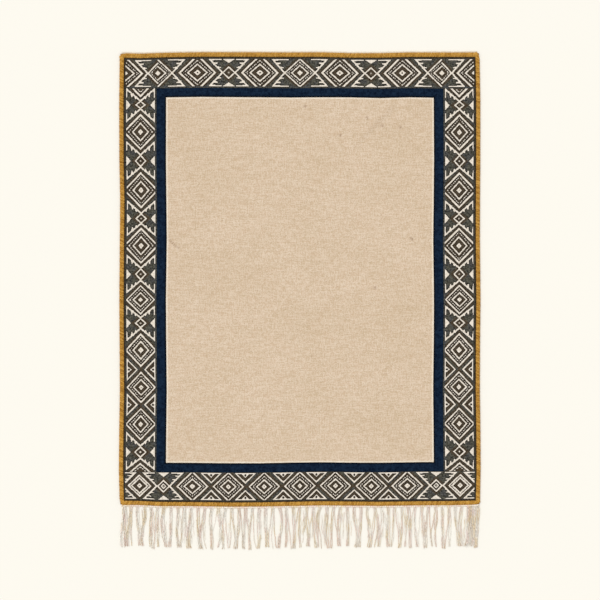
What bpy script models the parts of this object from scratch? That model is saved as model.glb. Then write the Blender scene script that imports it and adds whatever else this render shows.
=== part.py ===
"""A zanafi rug, lying flat: a cream flatwoven ground cloth, four woven bands of diamonds, a navy tape inside
them, a gold binding round the edge and a knotless warp fringe along the bottom end.

The rug lies on the XY plane with its underside at Z = 0. +Y runs to the plain end, the fringe lies at -Y, and
the origin is under the middle of the whole rug, fringe included.
"""

import math
import random
from collections import namedtuple

import bmesh
import bpy

MM = 0.001

# Driving sizes, in millimetres
RUG_WIDTH = 1200.0  # over the gold binding
RUG_LENGTH = 1508.4  # over the gold binding, without the fringe
TOP_EDGE = 822.7  # from the origin to the top binding's outer edge
CLOTH_THICK = 3.0
BAND_THICK = 1.8
TAPE_THICK = 1.6
BINDING_THICK = 3.0
GAP = 0.3  # between one piece and the next
MITRE_CUT = 0.22  # taken off a mitred end along its strip, which leaves GAP across the 45 degree joint
STRIP_SOFTENING = (1.0, 0.5)  # across and down, off a woven strip's upper edges
SHOULDER = (3.0, 0.2)  # across and down, from a binding's side to where its crown starts
BINDING_SIDE_DROP = 1.4  # of a binding's upper edges below its crown

# Widths of what lies round the field, from the rug's edge inwards: a row for each side
# Columns: side, gold binding, diamond band, navy tape
WIDTHS = {
    "left": (15.3, 108.4, 31.9),
    "right": (15.3, 108.0, 32.2),
    "bottom": (15.6, 98.4, 30.6),
    "top": (16.2, 102.7, 30.2),
}

# How far the hand-woven edges stray from straight lines. The binding's outer edge and the field's edge are
# charted from corner to corner, and what lies between follows both.
# Columns: place along the edge, outer edge's stray, field edge's stray, to +X on the sides, to +Y on the ends
STRAY = {
    "left": (
        (-686, 0.8, -1.3),
        (-565, -2.2, -1.3),
        (-432, -1.0, -0.1),
        (-300, 1.2, 1.6),
        (-133, 0.2, -0.3),
        (0, -0.7, -1.1),
        (199, 0.9, 1.7),
        (332, 2.2, 0.4),
        (465, -0.6, -1.0),
        (664, -1.1, -0.7),
        (823, 0.8, -0.7),
    ),
    "right": (
        (-686, -0.9, 0.9),
        (-565, 1.7, 0.9),
        (-432, 1.0, -0.1),
        (-300, -1.0, -1.5),
        (-133, -0.4, 0.6),
        (0, 1.2, 1.2),
        (199, -0.7, -1.3),
        (332, -0.5, 0.3),
        (465, 0.5, 1.4),
        (664, 0.7, 0.5),
        (823, -2.4, 0.5),
    ),
    "bottom": (
        (-600, 3.6, -0.2),
        (-531, 2.7, -0.2),
        (-465, -0.7, -0.2),
        (-365, -1.0, -0.6),
        (-232, -2.8, -2.0),
        (-133, -2.3, -2.1),
        (-33, -0.5, 0.1),
        (67, 1.5, 1.3),
        (167, 0.7, 0.0),
        (266, -0.2, -0.3),
        (416, 1.8, 1.9),
        (499, 2.0, 1.9),
        (600, 4.5, 1.9),
    ),
    "top": (
        (-600, -2.0, -0.1),
        (-531, -3.9, -0.1),
        (-448, -0.9, -0.1),
        (-332, 1.0, 1.6),
        (-182, 1.0, 0.5),
        (-33, 0.3, -0.5),
        (67, 0.9, 0.2),
        (167, -2.0, 0.0),
        (266, -1.9, -2.5),
        (366, 0.4, 0.1),
        (466, 0.3, -1.5),
        (600, 0.5, -1.5),
    ),
}

CORNER_RADIUS = {"top left": 6.0, "top right": 9.0, "bottom left": 4.0, "bottom right": 4.0}
CORNER_ANGLES = (45, 30, 15, 0)  # degrees, stations round half of a binding's corner
CLEAR_OF_END = 8.0  # no charted row of a strip or of the cloth lies nearer than this to its end

# The ground cloth
HEM_SHOWS = 4.0  # of the cloth, past the binding's outer edge at the top end
CLOTH_INSET = 3.0  # from a side binding's outer edge to the cloth's edge, which the binding's leg covers
HEM_CORNER = (6.0, 16.0)  # cut off the cloth's upper corners, across and down, behind the rounded binding
HEADING_TUCK = 8.0  # the fringe's heading reaches this far under the bottom binding

# A faint crease runs diagonally through the field's upper right corner
CREASE_FROM = (316.0, 655.0)
CREASE_TO = (166.0, 498.0)
CREASE_HALF_WIDTH = 16.0
CREASE_HEIGHT = 1.6
CREASE_CUTS = (0, 0.25, 0.5, 0.75, 1)  # edges across it, as shares of its length
CREASE_REACH = 130.0  # cells of the cloth with their middle this near the crease are cut by its edges

# The fringe: warp ends that leave their heading in locks of three yarns and lie together in tufts at the tips
HEADING_SHOWS = 4.0  # past the bottom binding's outer edge
HEADING_INSET = 5.0  # from a side binding's outer edge to the heading's end
FRINGE_LENGTH = 134.0  # from the heading to an average tip
YARN_WIDTH = 3.4
YARN_HEIGHT = 2.4
YARN_TOP = 0.6  # a yarn's upper face, as a share of its width
TIP_THIN = 0.82  # a yarn's tip, as a share of its width
YARNS_IN_LOCK = 3
ROOT_PITCH = 5.2  # between the yarns of a lock
TIP_PITCH = 4.2  # between the yarns of a tuft
TUFT_STRAY = 4.0  # how unevenly the tufts are trimmed
YARN_STRAY = 1.5  # and the yarns within a tuft
ROOT_MARGIN = 4.0  # from the rug's side to the first lock
SWAY = 2.6  # sideways bend, shared by neighbouring yarns so that none cross
SWAY_PERIODS = (31.0, 83.0)
YARN_STEPS = 5
SEED = 7
# Yarns in each tuft, from the left: their sum is a whole number of locks
TUFTS = (
    5, 1, 6, 1, 3, 2, 6, 4, 5, 5, 1, 3, 2, 3, 2, 4, 3, 3, 4, 4, 1, 4, 2, 5,
    2, 4, 4, 1, 5, 4, 3, 6, 4, 1, 3, 6, 3, 2, 3, 3, 4, 2, 2, 4, 2, 9, 3,
)  # fmt: skip

# A rectangle between two pieces, from the rug's edge to the field
Rect = namedtuple("Rect", "left right bottom top")
# A row of a strip's points: its place along the outer line, its place along the inner line, and the share of
# the width by which the outer edge is drawn in
Station = namedtuple("Station", "outer inner drawn_in")


def inset(rect, by):
    """The rectangle drawn in on each side: by holds a width for each side name."""
    return Rect(
        rect.left + by["left"], rect.right - by["right"], rect.bottom + by["bottom"], rect.top - by["top"]
    )


def inset_all(rect, by):
    return inset(rect, dict.fromkeys(WIDTHS, by))


RUG = Rect(-RUG_WIDTH / 2, RUG_WIDTH / 2, TOP_EDGE - RUG_LENGTH, TOP_EDGE)
BAND_EDGE = inset(RUG, {side: row[0] for side, row in WIDTHS.items()})
TAPE_EDGE = inset(BAND_EDGE, {side: row[1] for side, row in WIDTHS.items()})
FIELD = inset(TAPE_EDGE, {side: row[2] for side, row in WIDTHS.items()})


def between(low, high, share):
    return low + (high - low) * min(max(share, 0), 1)


def stray(side, along, depth):
    """How far a side strays at a place along it: depth is 0 at its outer edge and 1 at the field."""
    rows = STRAY[side]
    for (start, *low), (end, *high) in zip(rows, rows[1:]):
        if along < end or end == rows[-1][0]:
            share = (along - start) / (end - start)
            return between(between(low[0], high[0], share), between(low[1], high[1], share), depth)


def lie(x, y):
    """Where a point of the straight-edged rug lies on the floor."""
    left = stray("left", y, (x - RUG.left) / (FIELD.left - RUG.left))
    right = stray("right", y, (RUG.right - x) / (RUG.right - FIELD.right))
    low = stray("bottom", x, (y - RUG.bottom) / (FIELD.bottom - RUG.bottom))
    high = stray("top", x, (RUG.top - y) / (RUG.top - FIELD.top))
    across = (x - FIELD.left) / (FIELD.right - FIELD.left)
    up = (y - FIELD.bottom) / (FIELD.top - FIELD.bottom)
    return x + between(left, right, across), y + between(low, high, up)


def material(name, colour, roughness):
    made = bpy.data.materials.new(name)
    made.use_nodes = True
    shader = made.node_tree.nodes["Principled BSDF"]
    shader.inputs["Base Color"].default_value = (*colour, 1)
    shader.inputs["Roughness"].default_value = roughness
    shader.inputs["Metallic"].default_value = 0
    return made


def add_object(name, mesh_builder, finish):
    """Turns a bmesh in millimetres into a named object in metres."""
    bmesh.ops.scale(mesh_builder, vec=(MM, MM, MM), verts=mesh_builder.verts)
    mesh = bpy.data.meshes.new(name)
    mesh_builder.to_mesh(mesh)
    mesh_builder.free()
    mesh.materials.append(finish)
    made = bpy.data.objects.new(name, mesh)
    bpy.context.scene.collection.objects.link(made)
    return made


def end_places(rect, side):
    """Where one side of a rectangle starts and ends, along that side."""
    return (rect.bottom, rect.top) if side in ("left", "right") else (rect.left, rect.right)


def stations_between(side, start, end):
    """The rows of a strip of one side. start and end are its end Stations, with those that follow or come
    before them where it has a rounded corner. Between them a row lies at each charted place."""
    low = max(start[-1].outer, start[-1].inner)
    high = min(end[0].outer, end[0].inner)
    charted = [row[0] for row in STRAY[side] if low + CLEAR_OF_END < row[0] < high - CLEAR_OF_END]
    return [*start, *(Station(place, place, 0) for place in charted), *end]


def lay_strip(name, side, outer, inner, section, stations, finish):
    """Lofts one side's strip between two rectangles. section is a closed outline of (share of the width,
    height) points."""
    mesh = bmesh.new()
    outer_line, inner_line = getattr(outer, side), getattr(inner, side)
    rings = []
    for station in stations:
        ring = []
        for share, height in section:
            share = station.drawn_in + share * (1 - station.drawn_in)
            along = between(station.outer, station.inner, share)
            across = between(outer_line, inner_line, share)
            x, y = (across, along) if side in ("left", "right") else (along, across)
            ring.append(mesh.verts.new((*lie(x, y), height)))
        rings.append(ring)
    for ring, following in zip(rings, rings[1:]):
        for i in range(len(section)):
            j = (i + 1) % len(section)
            mesh.faces.new((ring[i], ring[j], following[j], following[i]))
    mesh.faces.new(rings[0])
    mesh.faces.new(reversed(rings[-1]))
    bmesh.ops.recalc_face_normals(mesh, faces=mesh.faces)
    return add_object(name, mesh, finish)


def rounded_corner(outer, inner, radius, width, onwards):
    """Stations round a binding's half of a corner, from the mitre on. onwards is +1 at the strip's start and
    -1 at its end."""
    stations = []
    for angle in CORNER_ANGLES:
        turn = math.radians(angle)
        along = MITRE_CUT + radius * (math.cos(turn) - math.sin(turn))
        drawn_in = radius * (1 - math.cos(turn)) / width
        stations.append(Station(outer + onwards * along, inner + onwards * along, drawn_in))
    return stations[::onwards]


def flat_section(bottom, thickness, width, bends=()):
    """A woven strip's section: flat, with its two upper edges softened. bends are shares of the width at
    which the strip's cut ends may change direction."""
    soft, drop = STRIP_SOFTENING
    soft /= width
    top = bottom + thickness
    upper = [(share, top) for share in bends]
    lower = [(share, bottom) for share in reversed(bends)]
    return [
        (0, bottom),
        (0, top - drop),
        (soft, top),
        *upper,
        (1 - soft, top),
        (1, top - drop),
        (1, bottom),
        *lower,
    ]


def binding_section(width, wraps_edge):
    """A binding's crowned section. On the sides a leg reaches the floor outside the cloth's edge."""
    bottom = CLOTH_THICK + GAP
    top = bottom + BINDING_THICK
    edge = top - BINDING_SIDE_DROP
    shoulder, drop = SHOULDER
    shoulder /= width
    crown = [
        (0, edge),
        (shoulder, top - drop),
        (0.5, top),
        (1 - shoulder, top - drop),
        (1, edge),
        (1, bottom),
    ]
    if not wraps_edge:
        return [(0, bottom), *crown]
    leg = (CLOTH_INSET - GAP) / width
    return [(0, 0), *crown, (leg, bottom), (leg, 0)]


def lay_bindings(finish):
    outer, inner = RUG, inset_all(BAND_EDGE, -GAP / 2)
    corners = {
        "left": ("bottom left", "top left"),
        "right": ("bottom right", "top right"),
        "bottom": ("bottom left", "bottom right"),
        "top": ("top left", "top right"),
    }
    for side, (start, end) in corners.items():
        (out_low, out_high), (in_low, in_high) = end_places(outer, side), end_places(inner, side)
        width = WIDTHS[side][0]
        stations = stations_between(
            side,
            rounded_corner(out_low, in_low, CORNER_RADIUS[start], width, 1),
            rounded_corner(out_high, in_high, CORNER_RADIUS[end], width, -1),
        )
        section = binding_section(width, wraps_edge=side in ("left", "right"))
        lay_strip(f"gold_binding_{side}", side, outer, inner, section, stations, finish)


def end_bends(outer, inner, side):
    """Shares of a side band's width at which the end bands' edges change direction, as its own ends do."""
    outer_line, inner_line = getattr(outer, side), getattr(inner, side)
    low, high = sorted((outer_line, inner_line))
    rows = STRAY["bottom"] + STRAY["top"]
    places = {row[0] for row in rows if low + CLEAR_OF_END < row[0] < high - CLEAR_OF_END}
    return sorted((place - outer_line) / (inner_line - outer_line) for place in places)


def lay_bands(finish):
    """The end bands run the full width between the side bindings, and the side bands butt against them."""
    outer, inner = inset_all(BAND_EDGE, GAP / 2), inset_all(TAPE_EDGE, -GAP / 2)
    for side, widths in WIDTHS.items():
        if side in ("left", "right"):
            low, high = inner.bottom + GAP, inner.top - GAP
            bends = end_bends(outer, inner, side)
        else:
            low, high = outer.left, outer.right
            bends = ()
        stations = stations_between(side, [Station(low, low, 0)], [Station(high, high, 0)])
        section = flat_section(CLOTH_THICK + GAP, BAND_THICK, widths[1], bends)
        lay_strip(f"diamond_band_{side}", side, outer, inner, section, stations, finish)


def lay_tapes(finish):
    outer, inner = inset_all(TAPE_EDGE, GAP / 2), FIELD
    for side, widths in WIDTHS.items():
        (out_low, out_high), (in_low, in_high) = end_places(outer, side), end_places(inner, side)
        stations = stations_between(
            side,
            [Station(out_low + MITRE_CUT, in_low + MITRE_CUT, 0)],
            [Station(out_high - MITRE_CUT, in_high - MITRE_CUT, 0)],
        )
        section = flat_section(CLOTH_THICK + GAP, TAPE_THICK, widths[2])
        lay_strip(f"navy_tape_{side}", side, outer, inner, section, stations, finish)


def crease_place(x, y):
    """A point's share of the way along the crease, and its distance to one side of it."""
    (x0, y0), (x1, y1) = CREASE_FROM, CREASE_TO
    length = math.dist(CREASE_FROM, CREASE_TO)
    along = ((x - x0) * (x1 - x0) + (y - y0) * (y1 - y0)) / length
    aside = ((x - x0) * (y1 - y0) - (y - y0) * (x1 - x0)) / length
    return along / length, aside


def crease_lift(x, y):
    """How high the crease stands: a soft ridge, highest near its upper right end."""
    share, aside = crease_place(x, y)
    if not 0 < share < 1:
        return 0
    return CREASE_HEIGHT * math.sin(math.pi * share**0.6) * max(0, 1 - abs(aside) / CREASE_HALF_WIDTH)


def lay_cloth(finish):
    """The ground cloth, one sheet under every strip, with a row or column of cells at each charted place."""
    edge = Rect(
        RUG.left + CLOTH_INSET,
        RUG.right - CLOTH_INSET,
        RUG.bottom + HEADING_TUCK + GAP,
        RUG.top + HEM_SHOWS,
    )
    inside = {row[0] for side in ("bottom", "top") for row in STRAY[side] if edge.left < row[0] < edge.right}
    columns = sorted({edge.left, edge.right} | inside)
    corner_across, corner_down = HEM_CORNER
    corner_start = edge.top - corner_down
    inside = {row[0] for row in STRAY["left"] if edge.bottom + CLEAR_OF_END < row[0] < corner_start}
    rows = sorted({edge.bottom, corner_start, edge.top} | inside)
    mesh = bmesh.new()
    grid = [[mesh.verts.new((x, y, 0)) for x in columns] for y in rows]
    grid[-1][0].co.x += corner_across
    grid[-1][-1].co.x -= corner_across
    for low, high in zip(grid, grid[1:]):
        for i in range(len(columns) - 1):
            mesh.faces.new((low[i], low[i + 1], high[i + 1], high[i]))
    cut_crease(mesh)
    for vert in mesh.verts:
        lift = crease_lift(vert.co.x, vert.co.y)
        vert.co.x, vert.co.y = lie(vert.co.x, vert.co.y)
        vert.co.z = lift
    sheet = add_object("ground_cloth", mesh, finish)
    thickness = sheet.modifiers.new("cloth thickness", "SOLIDIFY")
    thickness.thickness = CLOTH_THICK * MM
    thickness.offset = 1
    return sheet


def cut_crease(mesh):
    """Adds edges along the crease's ridge and its two flanks, and across it."""
    (x0, y0), (x1, y1) = CREASE_FROM, CREASE_TO
    length = math.dist(CREASE_FROM, CREASE_TO)
    along = ((x1 - x0) / length, (y1 - y0) / length, 0)
    aside = (along[1], -along[0], 0)
    spare = CREASE_REACH / length

    def near(face):
        middle = face.calc_center_median()
        share, distance = crease_place(middle.x, middle.y)
        return -spare < share < 1 + spare and abs(distance) < CREASE_REACH

    def cut(point, normal):
        faces = [face for face in mesh.faces if near(face)]
        edges = list({edge for face in faces for edge in face.edges})
        verts = list({vert for face in faces for vert in face.verts})
        bmesh.ops.bisect_plane(mesh, geom=faces + edges + verts, plane_co=point, plane_no=normal)

    for offset in (-CREASE_HALF_WIDTH, 0, CREASE_HALF_WIDTH):
        cut((x0 + aside[0] * offset, y0 + aside[1] * offset, 0), aside)
    for share in CREASE_CUTS:
        cut((between(x0, x1, share), between(y0, y1, share), 0), along)


def yarn_roots():
    """The middle of each yarn where it leaves the heading, gathered in locks."""
    count = sum(TUFTS)
    lock_pitch = (RUG_WIDTH - 2 * ROOT_MARGIN) / (count // YARNS_IN_LOCK)
    roots = []
    for i in range(count):
        lock, place = divmod(i, YARNS_IN_LOCK)
        middle = RUG.left + ROOT_MARGIN + (lock + 0.5) * lock_pitch
        roots.append(middle + (place - (YARNS_IN_LOCK - 1) / 2) * ROOT_PITCH)
    return roots


def yarn_tips(roots):
    """(x, length) of each yarn's tip: the yarns of a tuft draw together at the middle of their roots."""
    chance = random.Random(SEED)
    tips = []
    for tuft in TUFTS:
        members = roots[len(tips) : len(tips) + tuft]
        middle = sum(members) / tuft
        length = FRINGE_LENGTH + chance.uniform(-TUFT_STRAY, TUFT_STRAY)
        for place in range(tuft):
            x = middle + (place - (tuft - 1) / 2) * TIP_PITCH
            tips.append((x, length + chance.uniform(-YARN_STRAY, YARN_STRAY)))
    return tips


def eased(share):
    """0 to 1 with no slope at either end."""
    return share * share * (3 - 2 * share)


def sway(x, share):
    """Sideways bend of the fringe at a place along the rug and down a yarn."""
    short, long = SWAY_PERIODS
    return SWAY * math.sin(x / short + 2.2 * math.sin(x / long)) * math.sin(math.pi * share)


def lay_fringe(finish):
    """The heading, a strip under the bottom binding, with every yarn growing out of its front wall. A yarn is
    four-sided, lies flat on the floor and gets thinner towards its cut tip."""
    roots = yarn_roots()
    tips = yarn_tips(roots)
    back = RUG.bottom + HEADING_TUCK
    front = RUG.bottom - HEADING_SHOWS
    half = YARN_WIDTH / 2
    yarn_sides = [x + side * half for x in roots for side in (-1, 1)]
    sides = [RUG.left + HEADING_INSET, *yarn_sides, RUG.right - HEADING_INSET]
    mesh = bmesh.new()

    def heading_ring(x):
        corners = ((back, 0), (back, CLOTH_THICK), (front, CLOTH_THICK), (front, 0))
        return [mesh.verts.new((*lie(x, y), height)) for y, height in corners]

    rings = [heading_ring(x) for x in sides]
    for place, (ring, following) in enumerate(zip(rings, rings[1:])):
        is_root = place % 2 == 1
        for i in range(4):
            if is_root and i == 2:
                continue
            j = (i + 1) % 4
            mesh.faces.new((ring[i], ring[j], following[j], following[i]))
    mesh.faces.new(rings[0])
    mesh.faces.new(reversed(rings[-1]))
    for place, (root, (tip, length)) in enumerate(zip(roots, tips)):
        left, right = rings[2 * place + 1], rings[2 * place + 2]
        ring = [left[3], right[3], right[2], left[2]]
        for step in range(1, YARN_STEPS + 1):
            share = step / YARN_STEPS
            x = root + (tip - root) * eased(share) + sway(root, share)
            y = front - length * share
            thin = TIP_THIN if step == YARN_STEPS else 1
            wide, high = half * thin, YARN_HEIGHT * thin
            section = ((-wide, 0), (wide, 0), (YARN_TOP * wide, high), (-YARN_TOP * wide, high))
            following = [mesh.verts.new((*lie(x + dx, y), z)) for dx, z in section]
            for i in range(4):
                j = (i + 1) % 4
                mesh.faces.new((ring[i], ring[j], following[j], following[i]))
            ring = following
        mesh.faces.new(ring)
    bmesh.ops.recalc_face_normals(mesh, faces=mesh.faces)
    return add_object("fringe", mesh, finish)


def build():
    for old in list(bpy.data.objects):
        bpy.data.objects.remove(old, do_unlink=True)
    cream = material("cream wool and cotton cloth", (0.66, 0.53, 0.38), 0.95)
    charcoal = material("charcoal woven band", (0.055, 0.06, 0.058), 0.92)
    navy = material("navy woven tape", (0.007, 0.017, 0.041), 0.9)
    gold = material("gold whipped yarn", (0.48, 0.25, 0.045), 0.85)
    warp = material("undyed warp yarn", (0.75, 0.68, 0.56), 0.95)
    lay_cloth(cream)
    lay_tapes(navy)
    lay_bands(charcoal)
    lay_bindings(gold)
    lay_fringe(warp)


build()
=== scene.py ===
import math
import random

import bpy
import numpy as np
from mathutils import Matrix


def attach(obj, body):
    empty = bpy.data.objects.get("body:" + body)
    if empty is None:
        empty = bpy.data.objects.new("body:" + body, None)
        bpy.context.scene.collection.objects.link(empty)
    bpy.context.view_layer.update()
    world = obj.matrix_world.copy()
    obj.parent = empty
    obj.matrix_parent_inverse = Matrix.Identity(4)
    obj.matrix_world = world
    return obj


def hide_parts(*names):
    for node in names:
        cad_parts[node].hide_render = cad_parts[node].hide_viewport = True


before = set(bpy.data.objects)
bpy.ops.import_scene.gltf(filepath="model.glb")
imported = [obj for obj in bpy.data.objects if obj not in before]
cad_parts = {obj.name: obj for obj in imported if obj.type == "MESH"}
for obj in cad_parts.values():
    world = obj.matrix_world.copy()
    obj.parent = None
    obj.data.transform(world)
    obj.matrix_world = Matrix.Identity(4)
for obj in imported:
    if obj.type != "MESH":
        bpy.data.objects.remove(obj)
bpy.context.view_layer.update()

MM = 0.001

# Sizes in millimetres, the same as the solids have
RUG_WIDTH = 1200.0
RUG_LENGTH = 1508.4
TOP_EDGE = 822.7
CLOTH_THICK = 3.0
BAND_THICK = 1.8
TAPE_THICK = 1.6
BINDING_THICK = 3.0
GAP = 0.3
MITRE_CUT = 0.02

# Columns: gold binding, diamond band, navy tape, from the rug's edge inwards
WIDTHS = {
    "left": (15.3, 108.4, 31.9),
    "right": (15.3, 108.0, 32.2),
    "bottom": (15.6, 98.4, 30.6),
    "top": (16.2, 102.7, 30.2),
}

# Columns: place along the edge, outer edge's stray, field edge's stray, to +X on the sides, to +Y on the ends
STRAY = {
    "left": (
        (-686, 0.8, -1.3), (-565, -2.2, -1.3), (-432, -1.0, -0.1), (-300, 1.2, 1.6), (-133, 0.2, -0.3),
        (0, -0.7, -1.1), (199, 0.9, 1.7), (332, 2.2, 0.4), (465, -0.6, -1.0), (664, -1.1, -0.7),
        (823, 0.8, -0.7),
    ),
    "right": (
        (-686, -0.9, 0.9), (-565, 1.7, 0.9), (-432, 1.0, -0.1), (-300, -1.0, -1.5), (-133, -0.4, 0.6),
        (0, 1.2, 1.2), (199, -0.7, -1.3), (332, -0.5, 0.3), (465, 0.5, 1.4), (664, 0.7, 0.5),
        (823, -2.4, 0.5),
    ),
    "bottom": (
        (-600, 3.6, -0.2), (-531, 2.7, -0.2), (-465, -0.7, -0.2), (-365, -1.0, -0.6), (-232, -2.8, -2.0),
        (-133, -2.3, -2.1), (-33, -0.5, 0.1), (67, 1.5, 1.3), (167, 0.7, 0.0), (266, -0.2, -0.3),
        (416, 1.8, 1.9), (499, 2.0, 1.9), (600, 4.5, 1.9),
    ),
    "top": (
        (-600, -2.0, -0.1), (-531, -3.9, -0.1), (-448, -0.9, -0.1), (-332, 1.0, 1.6), (-182, 1.0, 0.5),
        (-33, 0.3, -0.5), (67, 0.9, 0.2), (167, -2.0, 0.0), (266, -1.9, -2.5), (366, 0.4, 0.1),
        (466, 0.3, -1.5), (600, 0.5, -1.5),
    ),
}  # fmt: skip

# The cloth's hem past the top binding, and the fringe's heading strip
HEM_SHOWS = 4.0
CLOTH_INSET = 3.0
HEM_CORNER = (6.0, 16.0)
HEADING_TUCK = 8.0
HEADING_SHOWS = 4.0
HEADING_INSET = 5.0

UPRIGHT = ("left", "right")


class Rect:
    def __init__(self, left, right, bottom, top):
        self.left, self.right, self.bottom, self.top = left, right, bottom, top

    def inset(self, by):
        return Rect(
            self.left + by["left"], self.right - by["right"], self.bottom + by["bottom"], self.top - by["top"]
        )

    def inset_all(self, by):
        return self.inset(dict.fromkeys(WIDTHS, by))


RUG = Rect(-RUG_WIDTH / 2, RUG_WIDTH / 2, TOP_EDGE - RUG_LENGTH, TOP_EDGE)
BAND_EDGE = RUG.inset({side: row[0] for side, row in WIDTHS.items()})
TAPE_EDGE = BAND_EDGE.inset({side: row[1] for side, row in WIDTHS.items()})
FIELD = TAPE_EDGE.inset({side: row[2] for side, row in WIDTHS.items()})
CLOTH = RUG.inset(
    {"left": CLOTH_INSET, "right": CLOTH_INSET, "bottom": HEADING_TUCK + GAP, "top": -HEM_SHOWS}
)


def stray(side, along, depth):
    """How far points by one side stray. depth is 0 at the rug's edge and 1 at the field's."""
    place, outer, inner = np.array(STRAY[side]).T
    low = np.interp(along, place, outer)
    return low + (np.interp(along, place, inner) - low) * np.clip(depth, 0, 1)


def lie(x, y):
    """Where points of the straight-edged rug lie on the floor."""
    left = stray("left", y, (x - RUG.left) / (FIELD.left - RUG.left))
    right = stray("right", y, (RUG.right - x) / (RUG.right - FIELD.right))
    low = stray("bottom", x, (y - RUG.bottom) / (FIELD.bottom - RUG.bottom))
    high = stray("top", x, (RUG.top - y) / (RUG.top - FIELD.top))
    across = np.clip((x - FIELD.left) / (FIELD.right - FIELD.left), 0, 1)
    up = np.clip((y - FIELD.bottom) / (FIELD.top - FIELD.bottom), 0, 1)
    return x + left + (right - left) * across, y + low + (high - low) * up


# Materials


def linear(colour):
    """A linear RGBA colour from an sRGB hex."""
    values = [int(colour[i : i + 2], 16) / 255 for i in (1, 3, 5)]
    return (*(v / 12.92 if v <= 0.04045 else ((v + 0.055) / 1.055) ** 2.4 for v in values), 1)


def add_node(tree, kind, inputs=None, **settings):
    """A node with its settings. inputs gives each socket a value, or the node or the output to link to it."""
    node = tree.nodes.new(kind)
    for name, value in settings.items():
        setattr(node, name, value)
    for key, value in (inputs or {}).items():
        for source in value if isinstance(value, list) else [value]:
            if isinstance(source, bpy.types.Node):
                source = next(output for output in source.outputs if output.enabled)
            if isinstance(source, bpy.types.NodeSocket):
                tree.links.new(source, node.inputs[key])
            else:
                node.inputs[key].default_value = source
    return node


def add_pattern(tree, place, source, low, high, to_low, to_high):
    """A number that varies over a cloth: the part of its source from low to high, stretched to a range.
    A source is the name of a number that the mesh carries, or noise: the sizes of its grains in millimetres
    along X, Y and Z, its detail, and where in the noise it starts."""
    if isinstance(source, str):
        found = add_node(tree, "ShaderNodeAttribute", attribute_name=source).outputs["Fac"]
    else:
        *sizes, detail, start = source
        sized = {"Vector": place, "Location": (start,) * 3, "Scale": tuple(1 / size for size in sizes)}
        sized = add_node(tree, "ShaderNodeMapping", sized)
        found = add_node(tree, "ShaderNodeTexNoise", {"Vector": sized, "Scale": 1.0, "Detail": detail})
    stretch = {"Value": found, "From Min": low, "From Max": high, "To Min": to_low, "To Max": to_high}
    return add_node(tree, "ShaderNodeMapRange", stretch)


def make_textile(name, depth, sheen, threads, colours, layers=()):
    """Wool and cotton hardly shine, and their loose fibres give a little sheen. threads are the patterns that
    add up to a thread's tone, and colours its darkest and its lightest. Each layer has its pattern and
    colours, and covers what is below it. depth is the bump's, in millimetres."""
    made = bpy.data.materials.new(name)
    made.use_nodes = True
    tree = made.node_tree
    shader = tree.nodes["Principled BSDF"]
    for label, value in (
        ("Roughness", 0.95), ("Sheen Weight", sheen), ("Sheen Roughness", 0.5), ("Specular IOR Level", 0.05)
    ):  # fmt: skip
        shader.inputs[label].default_value = value
    coordinate = add_node(tree, "ShaderNodeTexCoord").outputs["Object"]
    place = add_node(tree, "ShaderNodeVectorMath", {0: coordinate, "Scale": 1000}, operation="SCALE")
    tone = 0.0
    for pattern in threads:
        part = add_pattern(tree, place, *pattern)
        tone = add_node(tree, "ShaderNodeMath", {0: tone, 1: part}, operation="ADD")
    between = {0: tone, 6: linear(colours[0]), 7: linear(colours[1])}
    colour = add_node(tree, "ShaderNodeMix", between, data_type="RGBA")
    for pattern, dark, light in layers:
        share = add_pattern(tree, place, *pattern)
        between = {0: tone, 6: linear(dark), 7: linear(light)}
        own = add_node(tree, "ShaderNodeMix", between, data_type="RGBA")
        colour = add_node(tree, "ShaderNodeMix", {0: share, 6: colour, 7: own}, data_type="RGBA")
    tree.links.new(next(output for output in colour.outputs if output.enabled), shader.inputs["Base Color"])
    bump = add_node(tree, "ShaderNodeBump", {"Strength": 1.0, "Distance": depth * MM, "Height": tone})
    tree.links.new(bump.outputs[0], shader.inputs["Normal"])
    return made


# Undyed wool and cotton in a plain weave, heathered: every thread has its own tone along its length, with
# pinker and greyer patches a thumb wide, and a few dark slubs. The threads are about 1.5 mm apart, too fine
# to show, so they are drawn about 4 mm wide.
field_finish = make_textile(
    "undyed heathered plain weave", 0.45, 0.1,
    threads=(
        ((26, 3.6, 8, 2, 0), 0.36, 0.64, 0, 0.5),
        ((3.6, 22, 8, 2, 3.7), 0.36, 0.64, 0, 0.5),
        ((4.2, 4.2, 4.2, 2, 9.1), 0.3, 0.7, -0.55, 0.55),
    ),
    colours=("#c3ac8f", "#dbc8b2"),
    layers=(
        (((13, 13, 9, 2, 31), 0.4, 0.62, 0, 0.4), "#cbb095", "#d9c4ad"),
        (((240, 160, 90, 2, 0), 0.4, 0.75, 0, 0.3), "#b8a180", "#c8b295"),
        (((7, 3.6, 5, 2, 21), 0.7, 0.76, 0, 0.6), "#8b6e56", "#9f826a"),
        # Dark slubs, and painted shade along the crease
        (("slub", 0, 1, 0, 0.65), "#7a5c44", "#967860"),
        # Painted highlight along the field's edge by the tapes; the hem past the top binding has the same
        # lighter colour
        (("rim", 0, 1, 0, 1), "#e2d3bd", "#f0e5d3"),
        # Painted shade: the cloth under the strips is near-black so that the gaps between them show dark
        (("under", 0, 1, 0, 1), "#1a1611", "#1e1a15"),
    ),
)  # fmt: skip

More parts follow.
